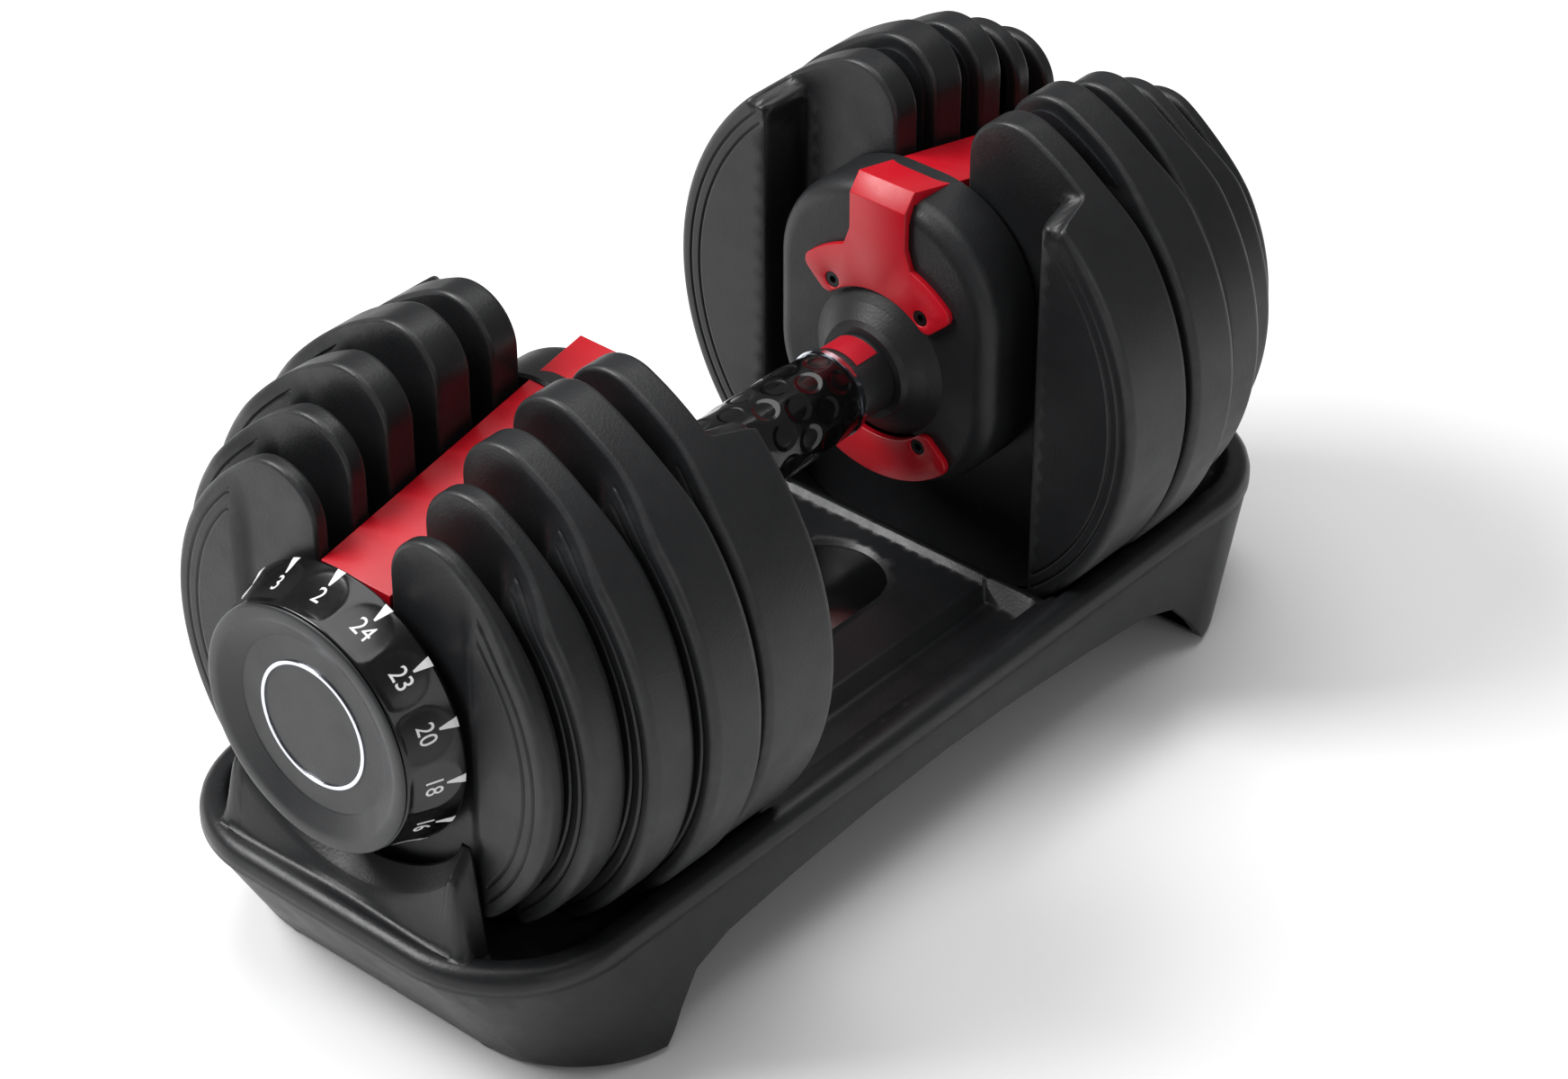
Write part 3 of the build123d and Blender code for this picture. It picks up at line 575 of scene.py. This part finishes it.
for side, sign in SIDES.items():
    body = f"dial_{side}"
    band = dial_band(side, sign)
    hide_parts(f"dial_{side}")
    piece(f"dial_{side}_front", *lathe(FRONT, sign), "dial_graphite", body, stands_for=[f"dial_cover_{side}"])
    piece(f"dial_{side}_ring", *lathe(TRIM, sign, 240), "chrome", body, stands_for=[f"dial_trim_{side}"])
    numbers, wedges = ([], []), ([], [])
    for i, value in enumerate(SETTINGS):
        angle = i * PITCH
        for (flat, faces), share, (vs, fs) in (
                (text_flat(str(value), DIGIT_SIZE, DIGIT_SQUEEZE), DIGIT_SHARE, numbers),
                (wedge_flat(), WEDGE_SHARE, wedges)):
            new, new_faces = thin_solid(
                flat, faces, lambda t: on_band(sign, flat, angle, share, t), MARK_PROUD)
            fs += [tuple(len(vs) + k for k in f) for f in new_faces]
            vs += new
    for what, (vs, fs) in (("numbers", numbers), ("markers", wedges)):
        piece(f"dial_{side}_{what}", vs, fs, "number_white", body, slot="dial_black", smooth=False)


# ---------------------------------------------------------------- grip
GRIP_HALF, GRIP_R, GRIP_WAIST = 38.5, 16.6, 0.9
DIMPLE_ROWS, DIMPLES_ROUND = 7, 9
DIMPLE_HALF, DIMPLE_DEPTH = (4.9, 4.3), 0.4     # half lengths along and round the grip
GRIP_STEPS = (216, 150)


def grip_mesh():
    half, r_mid, waist = GRIP_HALF, GRIP_R, GRIP_WAIST
    rows, per = DIMPLE_ROWS, DIMPLES_ROUND
    verts, faces = [], []
    around, along = GRIP_STEPS
    xs = np.linspace(-half, half, along)
    for a in np.linspace(0, 2 * math.pi, around, endpoint=False):
        r = r_mid - waist * (np.abs(xs) / half) ** 3
        edge = smoothstep((half - np.abs(xs)) / 2.0)
        dent = np.zeros_like(xs)
        for k in range(rows):
            cx = -half + (k + 0.5) * 2 * half / rows
            shift = 0.5 if k % 2 else 0.0
            u = ((a / (2 * math.pi) * per + shift + 0.5) % 1.0 - 0.5) * 2 * math.pi * r_mid / per
            q = np.hypot((xs - cx) / DIMPLE_HALF[0], u / DIMPLE_HALF[1])
            dent = np.maximum(dent, smoothstep((1.12 - q) / 0.3))
        r = r - DIMPLE_DEPTH * dent - 0.6 * (1 - edge) ** 2
        for x, rr in zip(xs, r):
            verts.append((x, rr * math.sin(a), AXLE_Z + rr * math.cos(a)))
    for i in range(around):
        j = (i + 1) % around
        for k in range(along - 1):
            faces.append((i * along + k, i * along + k + 1, j * along + k + 1, j * along + k))
    for k in (0, along - 1):
        faces.append(tuple(i * along + k for i in range(around)))
    return verts, faces


piece("grip_dimpled", *grip_mesh(), "grip_gloss", "handle", stands_for=["grip"])


# ---------------------------------------------------------------- tray of the stand
RIM_HALF, RIM_CORNER = (207.5, 84.5), 46.5
PART_Z, RIM_Z, SHELF_Z, RIM_ROLL = 45.0, 53.5, 48.5, 5.5
RIM_FALL = (8.0, 5.0)            # where the rim starts to fall to the shelf, and over what width
WALL = 3.5
WELLS = ((74.5, "e"), (110.25, "d"), (135.75, "c"), (157.75, "b"), (175.75, "a"), (186.95, None))
WELL_CLEAR = 0.4
CHANNEL_X, CHANNEL_Y, CHANNEL_Z = 71.0, 68.0, 39.5
DECK_Y, DECK_Z = 46.0, 46.0
OVAL = (38.0, 22.0, 3.0)         # half straight, radius, depth
SEAT_X, SEAT_R = (187.8, 196.0), (57.0, 64.0)
SEAT_FLANK, SEAT_NOSE = (55.5, 7.0), (200.5, 5.0)   # where the dial rest ends, and over what width it fades
PEAK_Y = 47.0
BOSS_POS, BOSS_R, BOSS_Z = (158.0, 64.0), 5.0, 5.0
HALF_STEP = 0.25                 # half the width over which a step in the tray rises


def rim_inset(x, y):
    """Distance inside the tray's outline."""
    qx = np.abs(x) - (RIM_HALF[0] - RIM_CORNER)
    qy = np.abs(y) - (RIM_HALF[1] - RIM_CORNER)
    return RIM_CORNER - np.hypot(np.maximum(qx, 0), np.maximum(qy, 0)) - np.minimum(np.maximum(qx, qy), 0)


def rim_height(x, y):
    d = rim_inset(x, y)
    roll = RIM_ROLL - np.clip(d, 0, RIM_ROLL)
    rim = RIM_Z - RIM_ROLL + np.sqrt(RIM_ROLL ** 2 - roll ** 2)
    return rim + (SHELF_Z - RIM_Z) * smoothstep((d - RIM_FALL[0]) / RIM_FALL[1])


def ramp(t):
    """Zero below the line and one above it, within half a step either side."""
    return smoothstep(t / (2 * HALF_STEP) + 0.5)


def trough(radius, y):
    return AXLE_Z - np.sqrt(np.maximum((radius + WELL_CLEAR) ** 2 - y * y, 0.0))


def tray_height(x, y):
    ax, ay = np.abs(x), np.abs(y)
    z = rim_height(x, y)
    shelf = z
    for (x0, letter), (x1, _) in zip(WELLS, WELLS[1:]):
        cut = np.minimum(shelf, trough(PLATES[letter][0], ay))
        z = z + (cut - z) * ramp(ax - x0) * ramp(x1 - ax)
    for (x0, a), (_, b) in zip(WELLS[1:-1], WELLS[:-2]):
        near = np.abs(ax - x0) < HALF_STEP
        low = np.minimum(shelf, trough(PLATES[b][0], ay))
        high = np.minimum(shelf, trough(PLATES[a][0], ay))
        z = np.where(near, low + (high - low) * ramp(ax - x0), z)
    r = np.interp(ax, SEAT_X, SEAT_R)
    seat = AXLE_Z - np.sqrt(np.maximum(r * r - ay * ay, 0.0))
    peak = AXLE_Z - np.sqrt(r * r - PEAK_Y ** 2) + 0.5
    seat = np.where(ay > PEAK_Y - 2, peak, np.minimum(seat, peak))
    flank = smoothstep((SEAT_FLANK[0] - ay) / SEAT_FLANK[1])
    nose = smoothstep((SEAT_NOSE[0] - ax) / SEAT_NOSE[1])
    z = z + np.maximum(seat - z, 0) * flank * nose * ramp(ax - SEAT_X[0])
    inside = ramp(CHANNEL_X - ax)
    z = z + (CHANNEL_Z - z) * inside * ramp(CHANNEL_Y - ay)
    z = z + (DECK_Z - z) * inside * ramp(DECK_Y - ay)
    round_in = OVAL[1] - np.hypot(np.maximum(ax - OVAL[0], 0), ay)
    z = z - OVAL[2] * ramp(round_in)
    wall = ramp(ax - CHANNEL_X) * ramp(WELLS[0][0] - ax) * ramp(CHANNEL_Y - ay)
    return z + (SHELF_Z - z) * wall


def tray_under(x, y, top):
    d = rim_inset(x, y)
    return PART_Z + (top - WALL - PART_Z) * smoothstep((d - WALL - 0.2) / 1.2)


def outline(inset, spacing):
    corner = RIM_CORNER - inset
    cx, cy = RIM_HALF[0] - RIM_CORNER, RIM_HALF[1] - RIM_CORNER
    pts = []
    for k, (sx, sy) in enumerate(((1, 1), (-1, 1), (-1, -1), (1, -1))):
        pts += arc(sx * cx, sy * cy, corner, k * math.pi / 2, (k + 1) * math.pi / 2, 40)
    return resample(pts, spacing)


def oval_line(grow):
    half, radius, _ = OVAL
    pts = arc(half, 0, radius + grow, -math.pi / 2, math.pi / 2, 40)
    pts += arc(-half, 0, radius + grow, math.pi / 2, 3 * math.pi / 2, 40)
    return resample(pts, 1.6)


def closed(loop):
    return [tuple(p) for p in loop] + [tuple(loop[0])]


def straight(x0, y0, x1, y1, spacing):
    n = max(2, int(math.hypot(x1 - x0, y1 - y0) / spacing) + 1)
    return [tuple(p) for p in np.linspace((x0, y0), (x1, y1), n)]


def tray_lines():
    """Lines the tray's mesh follows: rim roll, trough ends, deck, walls, oval and rests."""
    lines = [closed(outline(d, 3.0)) for d in (0.6, 1.5, 2.7, 4.0, 5.5, 8.0, 9.2, 10.5, 11.8, 13.0)]
    lines += [closed(oval_line(g)) for g in (-HALF_STEP, HALF_STEP)]
    for sx in (-1, 1):
        for x, _ in WELLS:
            for e in (-HALF_STEP, HALF_STEP):
                lines.append(straight(sx * (x + e), -78, sx * (x + e), 78, 2.0))
        for e in (-HALF_STEP, HALF_STEP):
            x, y = sx * (CHANNEL_X + e), CHANNEL_Y + 0.5
            lines.append(straight(x, -y, x, y, 3.0))
        for x in (187.55, 188.05, 188.8, 190.3, 192.0, 193.8, 195.5, 196.8, 198.0, 199.2, 200.5):
            lines.append(straight(sx * x, -56, sx * x, 56, 1.5))
        for sy in (-1, 1):
            for y in (45.0, 47.0, 48.5, 50.0, 51.5, 53.0, 54.5, 55.6):
                lines.append(straight(sx * 187.6, sy * y, sx * 200.5, sy * y, 1.6))
            for (x0, letter), (x1, _) in zip(WELLS, WELLS[1:]):
                ys = np.linspace(20, 83, 1200)
                gap = trough(PLATES[letter][0], ys) - rim_height(sx * 100.0 + 0 * ys, ys)
                y = float(ys[np.argmax(gap > 0)])
                lines.append(straight(sx * (x0 + 0.3), sy * y, sx * (x1 - 0.3), sy * y, 2.5))
    for y in (DECK_Y, CHANNEL_Y):
        for sy in (-1, 1):
            for e in (-HALF_STEP, HALF_STEP):
                lines.append(straight(-CHANNEL_X - 3.5, sy * (y + e), CHANNEL_X + 3.5, sy * (y + e), 3.0))
    return lines


def boss(x, y, radius, z0, z1, n=24):
    turn = np.linspace(0, 2 * math.pi, n, endpoint=False)
    verts = [(x + radius * math.cos(a), y + radius * math.sin(a), z) for z in (z0, z1) for a in turn]
    faces = [(i, (i + 1) % n, n + (i + 1) % n, n + i) for i in range(n)]
    return verts, faces + [tuple(range(n))[::-1], tuple(range(n, 2 * n))]


def tray_mesh():
    flat, tris, _ = face_cap(outline(0.0, 2.5), tray_lines(), 4.0, 1.6)
    flat = np.array(flat)
    top = tray_height(flat[:, 0], flat[:, 1])
    low = tray_under(flat[:, 0], flat[:, 1], top)
    m = len(flat)
    verts = [(p[0], p[1], z) for p, z in zip(flat, top)] + [(p[0], p[1], z) for p, z in zip(flat, low)]
    faces = [tuple(t) for t in tris] + [tuple(m + i for i in reversed(t)) for t in tris]
    used = {}
    for t in tris:
        for a, b in zip(t, list(t[1:]) + [t[0]]):
            used[(a, b)] = used.get((a, b), 0) + 1
    for a, b in used:
        if (b, a) not in used:
            faces.append((b, a, m + a, m + b))
    for sx in (-1, 1):
        for sy in (-1, 1):
            extra, around = boss(sx * BOSS_POS[0], sy * BOSS_POS[1], BOSS_R, BOSS_Z, SHELF_Z - 1)
            base = len(verts)
            verts += extra
            faces += [tuple(base + i for i in f) for f in around]
    return verts, faces


piece("stand_tray_moulding", *tray_mesh(), "tray_plastic", "stand", stands_for=["stand_tray"])


# ---------------------------------------------------------------- CAD pieces with their edges eased
def eased(name, width, slot, body, sharp_deg=28.0):
    """A copy of a CAD piece with rounded edges, standing in for it."""
    source = nodes[name]
    bm = bmesh.new()
    bm.from_mesh(source.data)
    bm.transform(source.matrix_world)
    bmesh.ops.remove_doubles(bm, verts=bm.verts, dist=1e-6)
    bmesh.ops.dissolve_limit(bm, angle_limit=math.radians(1.0), verts=bm.verts, edges=bm.edges)
    sharp = [e for e in bm.edges if len(e.link_faces) == 2 and e.calc_face_angle() > math.radians(sharp_deg)]
    bmesh.ops.bevel(bm, geom=sharp, offset=width * MM, offset_type="OFFSET", segments=2, profile=0.5,
                    affect="EDGES", clamp_overlap=True)
    bmesh.ops.triangulate(bm, faces=bm.faces)
    mesh = bpy.data.meshes.new(name + "_eased")
    bm.to_mesh(mesh)
    bm.free()
    mesh.polygons.foreach_set("use_smooth", [True] * len(mesh.polygons))
    mesh.set_sharp_from_angle(angle=math.radians(24.0))
    mesh.materials.append(MATS[slot])
    obj = bpy.data.objects.new(name + "_eased", mesh)
    bpy.context.scene.collection.objects.link(obj)
    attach(obj, body)
    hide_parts(name)
    return obj


for name, width, slot in (("bridge_left", 0.9, "strap_red"), ("bridge_right", 0.9, "strap_red"),
                          ("lower_yokes", 0.7, "strap_red"), ("neck_collars", 0.5, "collar_plastic")):
    eased(name, width, slot, "handle")
eased("stand_base", 1.6, "base_plastic", "stand")


# ---------------------------------------------------------------- floor, light and camera
def plane(name, size, centre):
    h = size / 2
    mesh = bpy.data.meshes.new(name)
    mesh.from_pydata([(-h, -h, 0), (h, -h, 0), (h, h, 0), (-h, h, 0)], [], [(0, 1, 2, 3)])
    obj = bpy.data.objects.new(name, mesh)
    obj.location = centre
    bpy.context.scene.collection.objects.link(obj)
    return obj


FLOOR_WIDTH, FLOOR_DROP = 12.0, 0.0002          # metres; the drop keeps it clear of the feet
floor = plane("floor", FLOOR_WIDTH, (0, 0, -FLOOR_DROP))
floor.data.materials.append(MATS["floor_white"])


def area_light(name, place, aim, size, power):
    data = bpy.data.lights.new(name, "AREA")
    data.shape = "RECTANGLE"
    data.size = data.size_y = size
    data.energy = power
    lamp = bpy.data.objects.new(name, data)
    lamp.location = place
    lamp.rotation_euler = (Vector(aim) - Vector(place)).to_track_quat("-Z", "Y").to_euler()
    bpy.context.scene.collection.objects.link(lamp)


LIGHTS = {                       # place, width and power
    "key": ((-0.9, 1.0, 1.5), 0.9, 40.0),
    "top": ((0.3, 0.2, 2.0), 1.6, 26.0),
    "front_fill": ((-0.4, -1.9, 0.9), 1.0, 4.0),
}
LIGHT_AIM = (0, 0, 0.1)
SKY = 0.22
for name, (place, size, power) in LIGHTS.items():
    area_light(name, place, LIGHT_AIM, size, power)
world = bpy.data.worlds.new("studio")
bpy.context.scene.world = world
world.use_nodes = True
world.node_tree.nodes["Background"].inputs["Color"].default_value = (1, 1, 1, 1)
world.node_tree.nodes["Background"].inputs["Strength"].default_value = SKY
bpy.context.scene.view_settings.view_transform = "Standard"

AZ, EL = math.radians(-49.35), math.radians(35.13)
TARGET = Vector((0.00393, -0.01033, 0.08467))
DISTANCE, LENS, SENSOR = 1.4155, 95.64, 36.0
back = Vector((math.sin(AZ) * math.cos(EL), -math.cos(AZ) * math.cos(EL), math.sin(EL)))
cam_data = bpy.data.cameras.new("camera")
cam_data.lens = LENS
cam_data.sensor_width = SENSOR
camera = bpy.data.objects.new("camera", cam_data)
camera.location = TARGET + back * DISTANCE
camera.rotation_euler = (-back).to_track_quat("-Z", "Y").to_euler()
bpy.context.scene.collection.objects.link(camera)
bpy.context.scene.camera = camera
